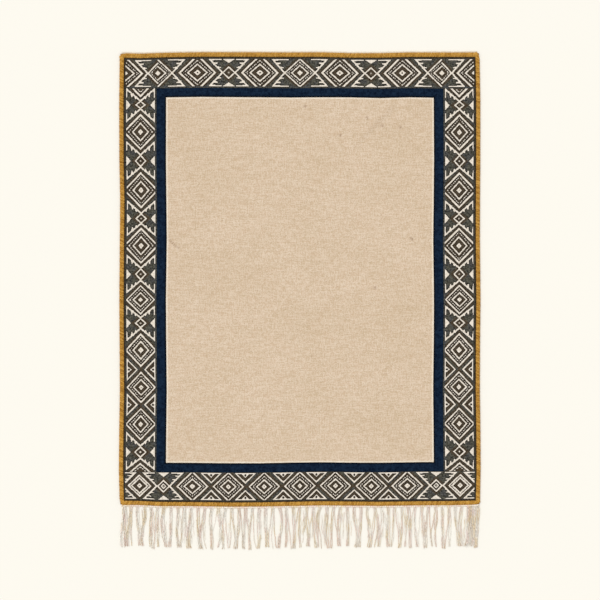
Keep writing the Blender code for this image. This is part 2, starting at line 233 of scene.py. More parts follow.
# Cream cotton figures on a ground of dark wool. Between cream rows the wool looks browner, right beside
# them nearly black, and next to the tape a little bluer. Its outer edge, by the gold binding, has painted
# shade.
band_finish = make_textile(
    "cream diamonds woven in charcoal wool", 0.5, 0.0,
    threads=(((5.6, 5.6, 5.6, 3, 0), 0.33, 0.67, 0, 1),),
    colours=("#23221d", "#615f54"),
    layers=(
        (((12, 12, 9, 2, 44), 0.47, 0.62, 0, 0.4), "#262830", "#53545d"),
        (("inside", 0, 1, 0, 1), "#372e23", "#564a3b"),
        (("margin", 0, 1, 0, 1), "#353b41", "#4b5157"),
        # Near-black wool beside the cream, and painted shade at the band's edge by the gold binding
        (("black", 0, 1, 0, 0.95), "#130d08", "#150f0a"),
        (("cream", 0, 1, 0, 1), "#ccc2b2", "#efe6d9"),
    ),
)  # fmt: skip

# Indigo wool woven in ribs across the tape, mottled, and painted nearly black along its inner edge, as shade
# where it bends down at the field
tape_finish = make_textile(
    "navy ribbed wool tape", 0.4, 0.0,
    threads=(((12, 12, 12, 4, 0), 0.38, 0.62, 0, 0.5), ((5, 5, 5, 2, 5), 0.36, 0.64, 0, 0.5)),
    colours=("#040e20", "#192a3e"),
    # Painted shade along the tape's inner edge, where it bends down at the field
    layers=((("rim", 0, 1, 0, 1), "#05080f", "#070b13"),),
)  # fmt: skip

# Mustard wool yarn whipped over the edge: every turn has its own tone, and the yarn is dyed unevenly
gold_finish = make_textile(
    "mustard whipping yarn", 0.3, 0.05,
    threads=(("tone", 0, 1, 0, 1), ((2.6, 2.6, 2.6, 3, 0), 0.3, 0.7, -0.3, 0.3)),
    colours=("#925f13", "#d5a54f"),
    layers=(
        (((5, 5, 5, 2, 40), 0.56, 0.62, 0, 0.45), "#78500f", "#8a5f1a"),
        (((6, 6, 6, 2, 50), 0.58, 0.66, 0, 0.4), "#d3a657", "#e3bd76"),
    ),
)  # fmt: skip

# Undyed cotton warp, two-ply: tan where it is worn or lies in its neighbour's shade, yellower or pinker by
# the lock
warp_finish = make_textile(
    "undyed two-ply warp yarn", 0.25, 0.15,
    threads=(("tone", 0, 1, 0, 1), ((3, 9, 3, 3, 0), 0.3, 0.7, -0.3, 0.3)),
    colours=("#fffbf3", "#d6c0a4"),
    layers=(
        (((22, 70, 22, 1, 12), 0.47, 0.58, 0, 0.8), "#f3e5c9", "#dabc8b"),
        (((17, 60, 17, 1, 33), 0.47, 0.58, 0, 0.7), "#f7e5dc", "#dfbfae"),
    ),
)  # fmt: skip


# Meshes


def make_object(name, vertices, faces, finish=None, smooth=True, edges=()):
    """An object from vertices in millimetres."""
    mesh = bpy.data.meshes.new(name)
    mesh.from_pydata((np.asarray(vertices) * MM).tolist(), list(edges), faces)
    if finish:
        mesh.materials.append(finish)
    mesh.shade_smooth() if smooth else mesh.shade_flat()
    made = bpy.data.objects.new(name, mesh)
    bpy.context.scene.collection.objects.link(made)
    return made


def set_values(thing, name, domain, values):
    """A named number for each vertex or face, for a material or a tree to read."""
    attribute = thing.data.attributes.new(name, "FLOAT", domain)
    attribute.data.foreach_set("value", np.asarray(values, dtype=float))


def lay_grid(name, x, y, z, bottom, finish, smooth=True):
    """A closed sheet of cloth: x, y and z are a grid of its upper side, and bottom is its underside's height.
    The grid's faces come first, row by row."""
    rows, columns = x.shape
    top = np.stack([x, y, z], axis=-1).reshape(-1, 3)
    number = np.arange(rows * columns).reshape(rows, columns)
    ring = np.concatenate([number[0], number[1:, -1], number[-1, -2::-1], number[-2:0:-1, 0]])
    lower = top[ring].copy()
    lower[:, 2] = bottom
    a, b, c, d = number[:-1, :-1], number[:-1, 1:], number[1:, 1:], number[1:, :-1]
    faces = np.stack([a, b, c, d], axis=-1).reshape(-1, 4).tolist()
    count = len(ring)
    first = len(top)
    under = {int(vertex): first + i for i, vertex in enumerate(ring)}
    for i in range(count):
        j = (i + 1) % count
        faces.append([int(ring[j]), int(ring[i]), first + i, first + j])
    for row in range(rows - 1):
        low = number[row] if row == 0 else number[row][[0, -1]]
        high = number[row + 1] if row == rows - 2 else number[row + 1][[0, -1]]
        faces.append([under[int(v)] for v in reversed([*low, *reversed(high)])])
    return make_object(name, np.concatenate([top, lower]), faces, finish, smooth)


def pad(whole, values, fill=0.0):
    """A sheet's values, one for each of the grid's faces or vertices, with fill for the others in whole."""
    padded = np.full(len(whole), float(fill))
    padded[: values.size] = np.ravel(values)
    return padded


def steps(low, high, pitch):
    return np.linspace(low, high, max(2, round((high - low) / pitch) + 1))


def strip_ends(side, outer, inner):
    """A strip's outer and inner lines, and where each of them starts and stops."""
    ends = ("bottom", "top") if side in UPRIGHT else ("left", "right")
    return [(getattr(edge, side), *(getattr(edge, end) for end in ends)) for edge in (outer, inner)]


def lay_strip(name, side, along, across, z, drop, finish, domain, values, smooth=True):
    """A strip on the cloth at one side. Its grid's rows follow each other along it, and its columns from its
    outer line inwards. drop is how much lower its edges lie, and values are the numbers of its cells or
    corners by name."""
    z[[0, -1]] -= drop
    z[:, [0, -1]] -= drop
    x, y = lie(across, along) if side in UPRIGHT else lie(along, across)
    if side in ("left", "top"):
        x, y, z = (part[:, ::-1] for part in (x, y, z))
        values = {label: part[:, ::-1] for label, part in values.items()}
    strip = lay_grid(name, x, y, z, CLOTH_THICK + GAP, finish, smooth)
    whole = strip.data.polygons if domain == "FACE" else strip.data.vertices
    for label, part in values.items():
        set_values(strip, label, domain, pad(whole, part))
    return strip


# The field

FIELD_STEP = 5.0
COVERED_STEP = 40.0
RIM_STEPS = np.array([-4.0, -1.0, 0.0, 1.6, 3.2, 4.8, 7.0])  # from the field's edge inwards
# Where the painted highlight along the field's edge is brightest, in millimetres from the edge inwards
EDGE_HIGHLIGHT_MIDDLE = 2.4
WAVE_HEIGHT = 0.16
WAVES_FROM_EDGE = 30.0

# The few dark slubs that show: both ends of each, and half its thickness
SLUBS = (
    ((-436.0, 198.0), (-402.0, 170.0), 2.3), ((248.0, 43.0), (251.0, 41.0), 4.2),
    ((371.0, 205.0), (375.0, 201.0), 4.2), ((16.0, 645.0), (20.0, 643.0), 3.6),
    ((133.0, 549.0), (136.0, 546.0), 3.6), ((272.0, 582.0), (276.0, 580.0), 3.6),
    ((222.0, 609.0), (224.0, 606.0), 3.6), ((332.0, 576.0), (334.0, 573.0), 3.6),
)  # fmt: skip

# A faint crease at the top right, painted a little darker than the cloth beside it, as shade
CREASE_FROM = (316.0, 655.0)
CREASE_TO = (166.0, 498.0)
CREASE_HALF_WIDTH = 16.0
CREASE_HEIGHT = 1.6
CREASE_PAINTED_SHADE = 0.12


def share_of_line(x, y, start, end):
    """How far along a line points lie, as a share of its length."""
    (x0, y0), (x1, y1) = start, end
    return ((x - x0) * (x1 - x0) + (y - y0) * (y1 - y0)) / math.dist(start, end) ** 2


def crease_lift(x, y):
    (x0, y0), (x1, y1) = CREASE_FROM, CREASE_TO
    share = np.clip(share_of_line(x, y, CREASE_FROM, CREASE_TO), 0, 1)
    aside = ((x - x0) * (y1 - y0) - (y - y0) * (x1 - x0)) / math.dist(CREASE_FROM, CREASE_TO)
    near = np.clip(1 - np.abs(aside) / CREASE_HALF_WIDTH, 0, 1)
    return CREASE_HEIGHT * np.sin(np.pi * share**0.6) * near


def slub_and_crease_shade_tone(x, y):
    """How much of a slub's brown, or of the crease's painted shade, the cloth has at each place."""
    # Painted shade along the crease
    tone = CREASE_PAINTED_SHADE * crease_lift(x, y)
    for start, end, half in SLUBS:
        (x0, y0), (x1, y1) = start, end
        share = np.clip(share_of_line(x, y, start, end), 0, 1)
        away = np.hypot(x - x0 - share * (x1 - x0), y - y0 - share * (y1 - y0))
        tone = np.maximum(tone, np.clip(1.3 - away / half, 0, 1))
    return tone


def cloth_lines(low, covered_from, field_low, field_high, covered_to, high):
    """Where the cloth's grid lines run: close in the field, closer at its rim, far apart under the strips."""
    return np.concatenate([
        low, steps(covered_from, field_low - 12, COVERED_STEP), field_low + RIM_STEPS,
        steps(field_low + 10, field_high - 10, FIELD_STEP), field_high - RIM_STEPS[::-1],
        steps(field_high + 12, covered_to, COVERED_STEP), high,
    ])  # fmt: skip


def lay_field():
    """The ground cloth, with its hem past the top binding."""
    across = ([CLOTH.left], CLOTH.left + 40, FIELD.left, FIELD.right, CLOTH.right - 40, [CLOTH.right])
    hem_lines = [CLOTH.top - HEM_CORNER[1], CLOTH.top]
    up = ([CLOTH.bottom], CLOTH.bottom + 30, FIELD.bottom, FIELD.top, CLOTH.top - 40, hem_lines)
    x, y = np.meshgrid(cloth_lines(*across), cloth_lines(*up))
    corner = HEM_CORNER[0] * np.clip((y - CLOTH.top + HEM_CORNER[1]) / HEM_CORNER[1], 0, 1)
    x = np.clip(x, CLOTH.left + corner, CLOTH.right - corner)
    from_edge = np.minimum(
        np.minimum(x - FIELD.left, FIELD.right - x), np.minimum(y - FIELD.bottom, FIELD.top - y)
    )
    inside = np.clip(from_edge / WAVES_FROM_EDGE, 0, 1)
    waves = np.sin(x / 71 + 1.3 * np.sin(y / 190)) * np.sin(y / 96 + 0.8) + 0.6 * np.sin(x / 33 - y / 41)
    z = CLOTH_THICK + crease_lift(x, y) + WAVE_HEIGHT * inside * (1 + waves)
    lie_x, lie_y = lie(x, y)
    cloth = lay_grid("cream_field_cloth", lie_x, lie_y, z, 0.0, field_finish)
    # Painted highlight along the field's edge by the tapes, and the hem's lighter colour
    rim = np.clip(1.6 - np.abs(from_edge - EDGE_HIGHLIGHT_MIDDLE) / 2, 0, 1)
    hem = np.clip((y - RUG.top + 6) / 6, 0, 1)
    # Painted shade: near-black under the strips, so that the gaps between them show dark
    under = np.clip(-from_edge - 1, 0, 1) * (1 - hem)
    for label, values in (("rim", np.maximum(rim, hem)), ("under", under), ("slub", slub_and_crease_shade_tone(x, y))):
        set_values(cloth, label, "POINT", pad(cloth.data.vertices, values))
    return cloth


# The diamond bands

# A dotted ring: from dot to dot, a dot's length, and how cream its dots and the gaps between them are
DOT_PITCH = 5.6
DOT_LENGTH = 3.0
DOT_TONE = 1.0
DOT_GAP_TONE = 0.02
# How far the browner wool reaches past a ring
BROWN_PAST_RING = 13.0
ARM_WIDTH = 4.9
# A wing's line along the edge: its thickness at the arm and at its other end
EDGE_LINE = (5.0, 2.4)
TRIANGLE_BASE = 3.6
DOT_FROM_EDGE = 7.4


class Chart:
    """What a band's weaver puts in each cell. along is a cell's place along the band, across how far it is
    from the figures' middle line, reach the figures' half width, and teeth the serrations of their arms."""

    def __init__(self, along, across, reach, teeth):
        self.along, self.across, self.reach, self.teeth = along, np.abs(across), reach, teeth
        self.cream = np.zeros(along.shape)
        self.inside = np.zeros(along.shape, bool)

    def weave(self, cells, tone=1.0):
        """Puts cream in cells. A tone under 1 has dark ticks between the cream ones."""
        cells = cells & (self.across < self.reach)
        self.cream[cells] = np.maximum(self.cream[cells], tone)

    def dot(self, place, across, radius, tone):
        self.cream[np.hypot(self.along - place, self.across - across) < radius] = tone

    def ring(self, place, long, wide, width, dotted=False, half=0):
        """A diamond outline. half leaves only the part on one side of its place."""
        aside = self.along - place
        share = np.abs(aside) / long + self.across / wide
        line = np.abs(share - 1) * long * wide / math.hypot(long, wide) < width / 2
        kept = aside * half >= 0
        if dotted:
            gaps = np.abs(aside) % DOT_PITCH > DOT_LENGTH
            self.weave(line & kept & gaps, DOT_GAP_TONE)
            line &= ~gaps
        self.weave(line & kept, DOT_TONE if dotted else 1.0)
        self.inside |= (share < 1 + BROWN_PAST_RING / long) & kept & (self.across < self.reach)

    def diamond(self, place, rings, middle, dot=(0.0, 0.0), half=0):
        """Rings round a solid middle with a dot."""
        for row in rings:
            self.ring(place, *row, half=half)
        aside = self.along - place
        self.weave((np.abs(aside) / middle[0] + self.across / middle[1] < 1) & (aside * half >= 0))
        self.dot(place, 0, *dot)

    def wing(self, vertex, way, length, edge_line):
        """Two serrated arms that open one way along the band, from the middle line to the figures' edges,
        with a line back along each edge."""
        ahead = (self.along - vertex) * way
        arm = length * self.across / self.reach
        slope = math.hypot(length, self.reach) / self.reach
        self.weave((np.abs(ahead - arm) < ARM_WIDTH / 2 * slope) & (ahead > -ARM_WIDTH))
        back = (length - ahead) / edge_line
        thick = EDGE_LINE[0] + (EDGE_LINE[1] - EDGE_LINE[0]) * back
        self.weave((self.reach - self.across < thick) & (back > 0) & (back < 1))
        for tooth_across, tooth_length, slant, thick, tip in self.teeth:
            back = (length * tooth_across / self.reach - ahead) / tooth_length
            bent = tooth_across + slant * back
            tooth = np.abs(self.across - bent) < thick + (tip - thick) * back
            self.weave(tooth & (back > -0.2) & (back < 1))

    def edge_triangle(self, place, half_base, depth):
        share = np.abs(self.along - place) / half_base + (self.reach - self.across) / depth
        self.weave(share < 1)

    def triangle(self, place, half_base, depth, width, inner):
        """An outlined triangle on both edges, round a solid one with a dot."""
        from_edge = self.reach - self.across
        aside = np.abs(self.along - place)
        share = aside / half_base + from_edge / depth
        line = np.abs(share - 1) * half_base * depth / math.hypot(half_base, depth) < width / 2
        self.weave(line | ((from_edge < TRIANGLE_BASE) & (share < 1)))
        self.inside |= (share < 1) & (from_edge > 0)
        self.weave(aside / inner[0] + from_edge / inner[1] < 1)
        self.dot(place, self.reach - DOT_FROM_EDGE, inner[2], 0.0)

    def small(self, place, rings, wings, edge_triangle, dot):
        """A small diamond with a dot, between two wings and two solid triangles."""
        for row in rings:
            self.ring(place, *row)
        self.dot(place, 0, *dot)
        for wing in wings:
            self.wing(*wing)
        self.edge_triangle(place, *edge_triangle)


# The figures' half width
TOP_REACH = 45.2
BOTTOM_REACH = 44.8
SIDE_REACH = 47.5
# Each wing's teeth: across, length, slant towards the edge, half thickness at the arm and at the tip
TOP_TEETH = ((17.5, 12.5, 0.0, 3.1, 1.4), (30.0, 13.5, 2.0, 3.5, 1.6))
BOTTOM_TEETH = ((12.5, 6.0, 0.0, 2.2, 0.9), (21.6, 12.0, 0.5, 2.4, 1.1), (32.5, 14.0, 2.0, 2.6, 1.2))
SIDE_TEETH = ((6.5, 3.0, 0.0, 2.4, 1.0), (16.0, 8.0, 0.5, 3.8, 1.6), (28.0, 11.0, 1.5, 4.2, 1.8))

# Rings from the outside in (half length, half width, line, dotted), the solid middle, and its dot
GREAT = (((58.8, 57.2, 5.6), (45.3, 40.4, 2.7, True), (32.0, 27.8, 4.3)), (11.6, 10.0), (2.9, 0.0))
FULL = (((50.5, 45.7, 4.2), (39.8, 34.8, 2.6, True), (27.3, 24.4, 3.8)), (9.6, 9.3))
MEDIUM_OUT = (((31.9, 33.9, 4.4), (22.4, 23.4, 2.6, True)), (9.4, 8.6))
MEDIUM_IN = (((48.2, 45.5, 4.2), (39.0, 34.2, 2.6, True), (26.6, 23.0, 3.9)), (9.8, 8.6))
CORNER = (((36.9, 35.3, 4.2), (30.0, 28.6, 1.6, True), (26.2, 25.0, 3.9)), (9.4, 9.2), (1.8, 0.2))
PLAIN = (((49.5, 46.2, 3.9), (37.8, 34.0, 2.5, True), (25.1, 22.4, 4.0)), (8.4, 8.6), (1.7, 0.2))
PLAIN_WIDE = (((50.2, 48.0, 4.6), (38.5, 33.5, 2.5, True), (27.4, 23.6, 4.1)), (10.0, 9.0), (1.7, 0.5))
SIDE_GREAT = (((56.6, 55.2, 5.3), (45.2, 39.6, 2.6, True), (29.2, 26.0, 4.1)), (9.8, 8.8), (2.2, 0.6))
SIDE_GREAT_LOW = (((52.9, 49.5, 5.0), (40.8, 37.8, 2.6, True), (29.3, 25.4, 4.3)), (10.3, 9.5), (2.0, 0.7))
SIDE_FULL = (((46.5, 46.0, 4.1), (34.8, 35.8, 2.4, True), (22.8, 24.0, 3.9)), (7.6, 8.4), (1.6, 0.7))
SIDE_PLAIN = (((49.5, 46.0, 4.2), (38.2, 35.2, 2.4, True), (25.5, 25.2, 4.1)), (9.1, 8.1), (1.7, 0.2))
SIDE_PLAIN_LOW = (((50.8, 48.5, 4.2), (39.2, 35.6, 2.4, True), (27.3, 24.0, 3.8)), (9.3, 8.3), (1.6, 0.6))


def chart_top(chart):
    for end in (-1, 1):
        chart.diamond(583.0 * end, *GREAT)
        chart.diamond(472.0 * end, *MEDIUM_OUT, half=end)
        chart.diamond(472.0 * end, *MEDIUM_IN, half=-end)
        chart.wing(505.2 * end, end, 41.0, 53.0)
        chart.wing(424.0 * end, -end, 41.0, 55.0)
        chart.diamond(340.0 * end, *GREAT)
        wings = [(236.0 * end + 21.3 * way, way, 42.9, 40.0) for way in (-1, 1)]
        chart.small(236.0 * end, ((20.0, 18.6, 4.0),), wings, (20.6, 13.0), (3.4, 0.45))
        chart.diamond(132.6 * end, *GREAT)
        chart.wing(51.0 * end, end, 39.6, 53.0)
    chart.diamond(0.3, *FULL)


def chart_bottom(chart):
    for end in (-1, 1):
        chart.diamond(532.0 * end, *CORNER)
        chart.wing(590.0 * end, -end, 44.9, 38.0)
        wings = ((474.5 * end, end, 44.9, 38.0), (431.5 * end, -end, 43.0, 38.0))
        chart.small(452.0 * end, ((19.4, 19.0, 4.2), (7.3, 7.3, 2.8)), wings, (18.6, 14.0), (1.8, 0.5))
        chart.diamond(356.3 * end, *PLAIN_WIDE)
        for place in (237.0, 118.0):
            chart.diamond(place * end, *PLAIN)
        for place in (294.0, 180.6, 55.0):
            chart.triangle(place * end, 32.7, 32.0, 3.9, (15.2, 16.0, 3.9))
    chart.diamond(0.0, *PLAIN)


def chart_side(chart):
    chart.ring(734.0, 56.2, 55.0, 5.7)
    chart.ring(734.0, 43.5, 41.0, 2.8, dotted=True)
    # Columns: place, ring, where the wings start above and below, how far they reach, and the dot's tone
    for place, long, wide, up, down, above, below, tone in (
        (648.2, 12.0, 14.8, 12.9, 13.4, 41.0, 42.0, 0.12),
        (462.0, 18.6, 16.9, 20.6, 20.6, 42.3, 39.5, 0.75),
        (270.6, 15.0, 17.0, 17.2, 16.4, 41.0, 39.5, 0.65),
        (85.4, 17.8, 16.9, 20.6, 20.6, 42.5, 40.5, 0.6),
        (-77.0, 15.0, 17.2, 18.0, 17.4, 37.6, 40.0, 0.6),
        (-505.6, 17.0, 18.2, 20.2, 20.6, 44.3, 37.0, 0.95),
    ):
        wings = ((place + up, 1, above, 29.0), (place - down, -1, below, 29.0))
        chart.small(place, ((long, wide, 4.0),), wings, (17.0, 15.0), (2.7, tone))
    for place in (558.1, 364.6, 180.2):
        chart.diamond(place, *SIDE_GREAT)
    chart.diamond(0.7, *SIDE_FULL)
    chart.diamond(-167.0, *SIDE_GREAT_LOW)
    chart.diamond(-290.5, *SIDE_PLAIN)
    chart.diamond(-412.7, *SIDE_PLAIN_LOW)
    for place in (-231.7, -348.4):
        chart.triangle(place, 35.0, 34.5, 4.3, (13.5, 17.0, 3.8))
    chart.ring(-586.0, 41.6, 48.0, 4.6)
    chart.ring(-586.0, 31.0, 37.0, 2.8, dotted=True)


# Columns: chart, half width of the figures, teeth, and the figures' middle line from the band's outer edge
CHARTS = {
    "left": (chart_side, SIDE_REACH, SIDE_TEETH, 55.6),
    "right": (chart_side, SIDE_REACH, SIDE_TEETH, 55.2),
    "bottom": (chart_bottom, BOTTOM_REACH, BOTTOM_TEETH, 51.3),
    "top": (chart_top, TOP_REACH, TOP_TEETH, 51.9),
}
CELL = 1.65
FIGURE_RELIEF = 0.28
WEAVE_RELIEF = 0.1
BAND_EDGE_DROP = 0.5
END_MARGIN = 4.6  # plain, at the ends of the end bands
INNER_MARGIN_CUT = 3.0
# How black the wool looks between the figures and the band's outer edge; at that edge, painted shade of the
# groove beside the gold binding, and the same darkness on the plain ends
OUTER_MARGIN_TONE = 0.4
EDGE_SHADE_AND_PLAIN_END_TONE = 0.6
BLUR_ROUNDS = 9
AROUND = ((0, 0), (1, 0), (-1, 0), (0, 1), (0, -1))


def spread_out(grid):
    """True where a cell or a neighbour of it is."""
    grown = grid.copy()
    grown[1:] |= grid[:-1]
    grown[:-1] |= grid[1:]
    grown[:, 1:] |= grid[:, :-1]
    grown[:, :-1] |= grid[:, 1:]
    return grown


def blacken(chart, across):
    """How black the wool of each cell looks: most of all right beside cream, and wherever cream is near."""
    black = spread_out(chart.cream > 0.6)
    black = (black * 0.6 + spread_out(black) * 0.4) * (chart.cream < 0.4)
    around = chart.cream
    for _ in range(BLUR_ROUNDS):
        around = np.pad(around, 1, mode="edge")
        rows, columns = (size - 1 for size in around.shape)
        around = sum(around[1 + i : rows + i, 1 + j : columns + j] for i, j in AROUND) / 5
    black = np.maximum(black, np.clip(around * 3 - 0.3, 0, 0.75))
    black = np.maximum(black, OUTER_MARGIN_TONE * (across < -chart.reach))
    # Painted shade of the groove between the band and the gold binding
    black[:, 0] = EDGE_SHADE_AND_PLAIN_END_TONE
    return black


def lay_band(side):
    """A band. Its grid has a face for each cell of its chart, and the cream cells stand a little higher."""
    outer, inner = BAND_EDGE.inset_all(GAP / 2), TAPE_EDGE.inset_all(-GAP / 2)
    (outer_line, *_), (inner_line, *_) = strip_ends(side, outer, inner)
    low, high = (inner.bottom + GAP, inner.top - GAP) if side in UPRIGHT else (outer.left, outer.right)
    width = abs(inner_line - outer_line)
    along, depth = np.meshgrid(steps(low, high, CELL), steps(0, width, CELL), indexing="ij")
    weave_chart, reach, teeth, middle = CHARTS[side]
    cell_along = (along[:-1, :-1] + along[1:, 1:]) / 2
    cell_across = (depth[:-1, :-1] + depth[1:, 1:]) / 2 - middle
    chart = Chart(cell_along, cell_across, reach, teeth)
    weave_chart(chart)
    black = blacken(chart, cell_across)
    chart.inside[:, :2] = True
    if side not in UPRIGHT:
        past = np.abs(cell_along) > outer.right - END_MARGIN
        chart.cream[past] = 0.0
        # The plain ends as dark as the painted shade at the band's edge
        black[past] = EDGE_SHADE_AND_PLAIN_END_TONE
    rise = np.zeros(along.shape)
    for rows in (slice(0, -1), slice(1, None)):
        for columns in (slice(0, -1), slice(1, None)):
            rise[rows, columns] += chart.cream / 4
    i, j = np.indices(along.shape)
    z = CLOTH_THICK + GAP + BAND_THICK - 0.25 + FIGURE_RELIEF * rise + WEAVE_RELIEF * (-1.0) ** (i + j)
    values = {
        "cream": chart.cream,
        "inside": chart.inside,
        "margin": (cell_across > reach) & (cell_across < width - middle - INNER_MARGIN_CUT),
        "black": black,
    }
    across = outer_line + math.copysign(1, inner_line - outer_line) * depth
    grid = (along, across, z, BAND_EDGE_DROP)
    return lay_strip(f"diamond_weave_{side}", side, *grid, band_finish, "FACE", values, smooth=False)


# The navy tapes

TAPE_CELL = (3.2, 2.4)  # along and across
RIB_HEIGHT = 0.12
RIB_STRAY = 0.05
TAPE_EDGE_DROP = 0.4


def lay_tape(side):
    """A mitred length of tape, ribbed across, with painted shade where it bends down at the field."""
    outer, inner = strip_ends(side, TAPE_EDGE.inset_all(GAP / 2), FIELD)
    outer_line, low, high = outer
    inner_line, in_low, in_high = inner
    rows = round((high - low) / TAPE_CELL[0]) + 1
    columns = round(abs(inner_line - outer_line) / TAPE_CELL[1]) + 1
    place, share = np.meshgrid(np.linspace(0, 1, rows), np.linspace(0, 1, columns), indexing="ij")
    start = low + (in_low - low) * share + MITRE_CUT
    stop = high + (in_high - high) * share - MITRE_CUT
    along = start + (stop - start) * place
    across = outer_line + (inner_line - outer_line) * share
    chance = np.random.default_rng(len(side))
    ribs = RIB_HEIGHT * (-1.0) ** np.indices(along.shape)[0]
    z = CLOTH_THICK + GAP + TAPE_THICK - 0.1 + ribs + chance.uniform(-RIB_STRAY, RIB_STRAY, along.shape)
    # Painted shade along the inner edge, where the tape bends down at the field
    rim = np.clip((share - 0.82) / 0.06, 0, 1) * 0.95
    grid = (along, across, z, TAPE_EDGE_DROP)
    return lay_strip(f"navy_ribbed_tape_{side}", side, *grid, tape_finish, "POINT", {"rim": rim})


# Geometry Nodes


def new_tree(name, sockets):
    """A Geometry Nodes tree with its named inputs, (label, kind, value) each, and what its inputs give."""
    tree = bpy.data.node_groups.new(name, "GeometryNodeTree")
    tree.interface.new_socket("Geometry", in_out="INPUT", socket_type="NodeSocketGeometry")
    for label, kind, value in sockets:
        socket = tree.interface.new_socket(label, in_out="INPUT", socket_type=f"NodeSocket{kind}")
        if value is not None:
            socket.default_value = value
    tree.interface.new_socket("Geometry", in_out="OUTPUT", socket_type="NodeSocketGeometry")
    return tree, add_node(tree, "NodeGroupInput").outputs


def grow(name, guide, tree, helpers, values):
    """The piece that a tree grows along a guide. The guide and the helper objects go."""
    modifier = guide.modifiers.new("grown", "NODES")
    modifier.node_group = tree
    for item in tree.interface.items_tree:
        if item.in_out == "INPUT" and item.name in values:
            modifier[item.identifier] = values[item.name]
    graph = bpy.context.evaluated_depsgraph_get()
    mesh = bpy.data.meshes.new_from_object(guide.evaluated_get(graph))
    mesh.name = name
    for used in (guide, *helpers):
        bpy.data.objects.remove(used, do_unlink=True)
    made = bpy.data.objects.new(name, mesh)
    bpy.context.scene.collection.objects.link(made)
    return made


def make_guide(name, lines, **values):
    """Polylines as loose edges. lines is a list of point arrays, and values give a number for each point."""
    edges = []
    start = 0
    for line in lines:
        edges += [(start + i, start + i + 1) for i in range(len(line) - 1)]
        start += len(line)
    guide = make_object(name, np.concatenate(lines), [], edges=edges)
    for label, numbers in values.items():
        set_values(guide, label, "POINT", np.concatenate(numbers))
    return guide


# The gold bindings

WHIP_PITCH = 3.3
WHIP_RADIUS = 1.75
WHIP_SIDES = 5
WHIP_FLAT = 0.62  # a turn's thickness as a share of its width
WHIP_SLANT = 6.0
# How far turns stray from square, in radians, and how wide they are next to the drawn one
TURN_STRAY = 0.09
TURN_WIDTHS = (0.85, 1.15)
# Near the mitred ends the turns fan out
FAN_LENGTH = 11.0
FAN_TURN = 0.72
# From the binding's outer edge to the middle of a turn's outer leg
TURN_INSET = {"left": 1.0, "right": 1.6, "bottom": 1.9, "top": 1.0}
# The darkest and the lightest turn: the ends' yarn is evener than the sides'
TURN_TONES = {"left": (0.2, 0.9), "right": (0.2, 0.9), "bottom": (0.28, 0.84), "top": (0.4, 0.75)}
CORE_STEPS = 120
CORNER_CUT = 3.0
CORNER_LENGTH = 6.0
BINDING_TOP = CLOTH_THICK + GAP + BINDING_THICK
BINDING_INNER = BAND_EDGE.inset_all(-GAP / 2)


def whipping_tree():
    tree, given = new_tree(
        "turns of whipping yarn along an edge",
        (
            ("Core", "Object", None),
            ("Turn", "Object", None),
            ("Pitch", "Float", WHIP_PITCH * MM),
            ("Darkest turn", "Float", 0.1),
            ("Lightest turn", "Float", 0.9),
        ),
    )
    line = add_node(tree, "GeometryNodeMeshToCurve", {0: given["Geometry"]})
    spaced = {0: line, "Length": given["Pitch"]}
    points = add_node(tree, "GeometryNodeResampleCurve", spaced, mode="LENGTH")
    tone, unevenness, thick = (
        add_node(tree, "FunctionNodeRandomValue", {2: low, 3: high, "Seed": seed}, data_type="FLOAT")
        for low, high, seed in (
            (given["Darkest turn"], given["Lightest turn"], 3),
            (-TURN_STRAY, TURN_STRAY, 11),
            (*TURN_WIDTHS, 5),
        )
    )
    fan, stretch = (
        add_node(tree, "GeometryNodeInputNamedAttribute", {"Name": name}, data_type="FLOAT")
        for name in ("fan", "stretch")
    )
    toned = {0: points, "Name": "tone", "Value": tone}
    toned = add_node(tree, "GeometryNodeStoreNamedAttribute", toned, data_type="FLOAT", domain="POINT")
    tangent = {"Vector": add_node(tree, "GeometryNodeInputTangent")}
    aligned = add_node(tree, "FunctionNodeAlignRotationToVector", tangent, axis="X", pivot_axis="Z")
    turned = add_node(tree, "ShaderNodeMath", {0: fan, 1: unevenness}, operation="ADD")
    turned = add_node(tree, "ShaderNodeCombineXYZ", {"Z": turned})
    turned = add_node(tree, "FunctionNodeEulerToRotation", {0: turned})
    rotation = {"Rotation": aligned, "Rotate By": turned}
    rotation = add_node(tree, "FunctionNodeRotateRotation", rotation, rotation_space="LOCAL")
    scale = add_node(tree, "ShaderNodeCombineXYZ", {"X": thick, "Y": stretch, "Z": 1.0})
    core, yarn = (
        add_node(tree, "GeometryNodeObjectInfo", {"Object": given[name]}).outputs["Geometry"]
        for name in ("Core", "Turn")
    )
    placed = {"Points": toned, "Instance": yarn, "Rotation": rotation, "Scale": scale}
    turns = add_node(tree, "GeometryNodeInstanceOnPoints", placed)
    both = add_node(tree, "GeometryNodeJoinGeometry", {0: [core, turns]})
    real = add_node(tree, "GeometryNodeRealizeInstances", {0: both})
    finished = add_node(tree, "GeometryNodeSetMaterial", {0: real, "Material": gold_finish})
    add_node(tree, "NodeGroupOutput", {0: finished})
    return tree


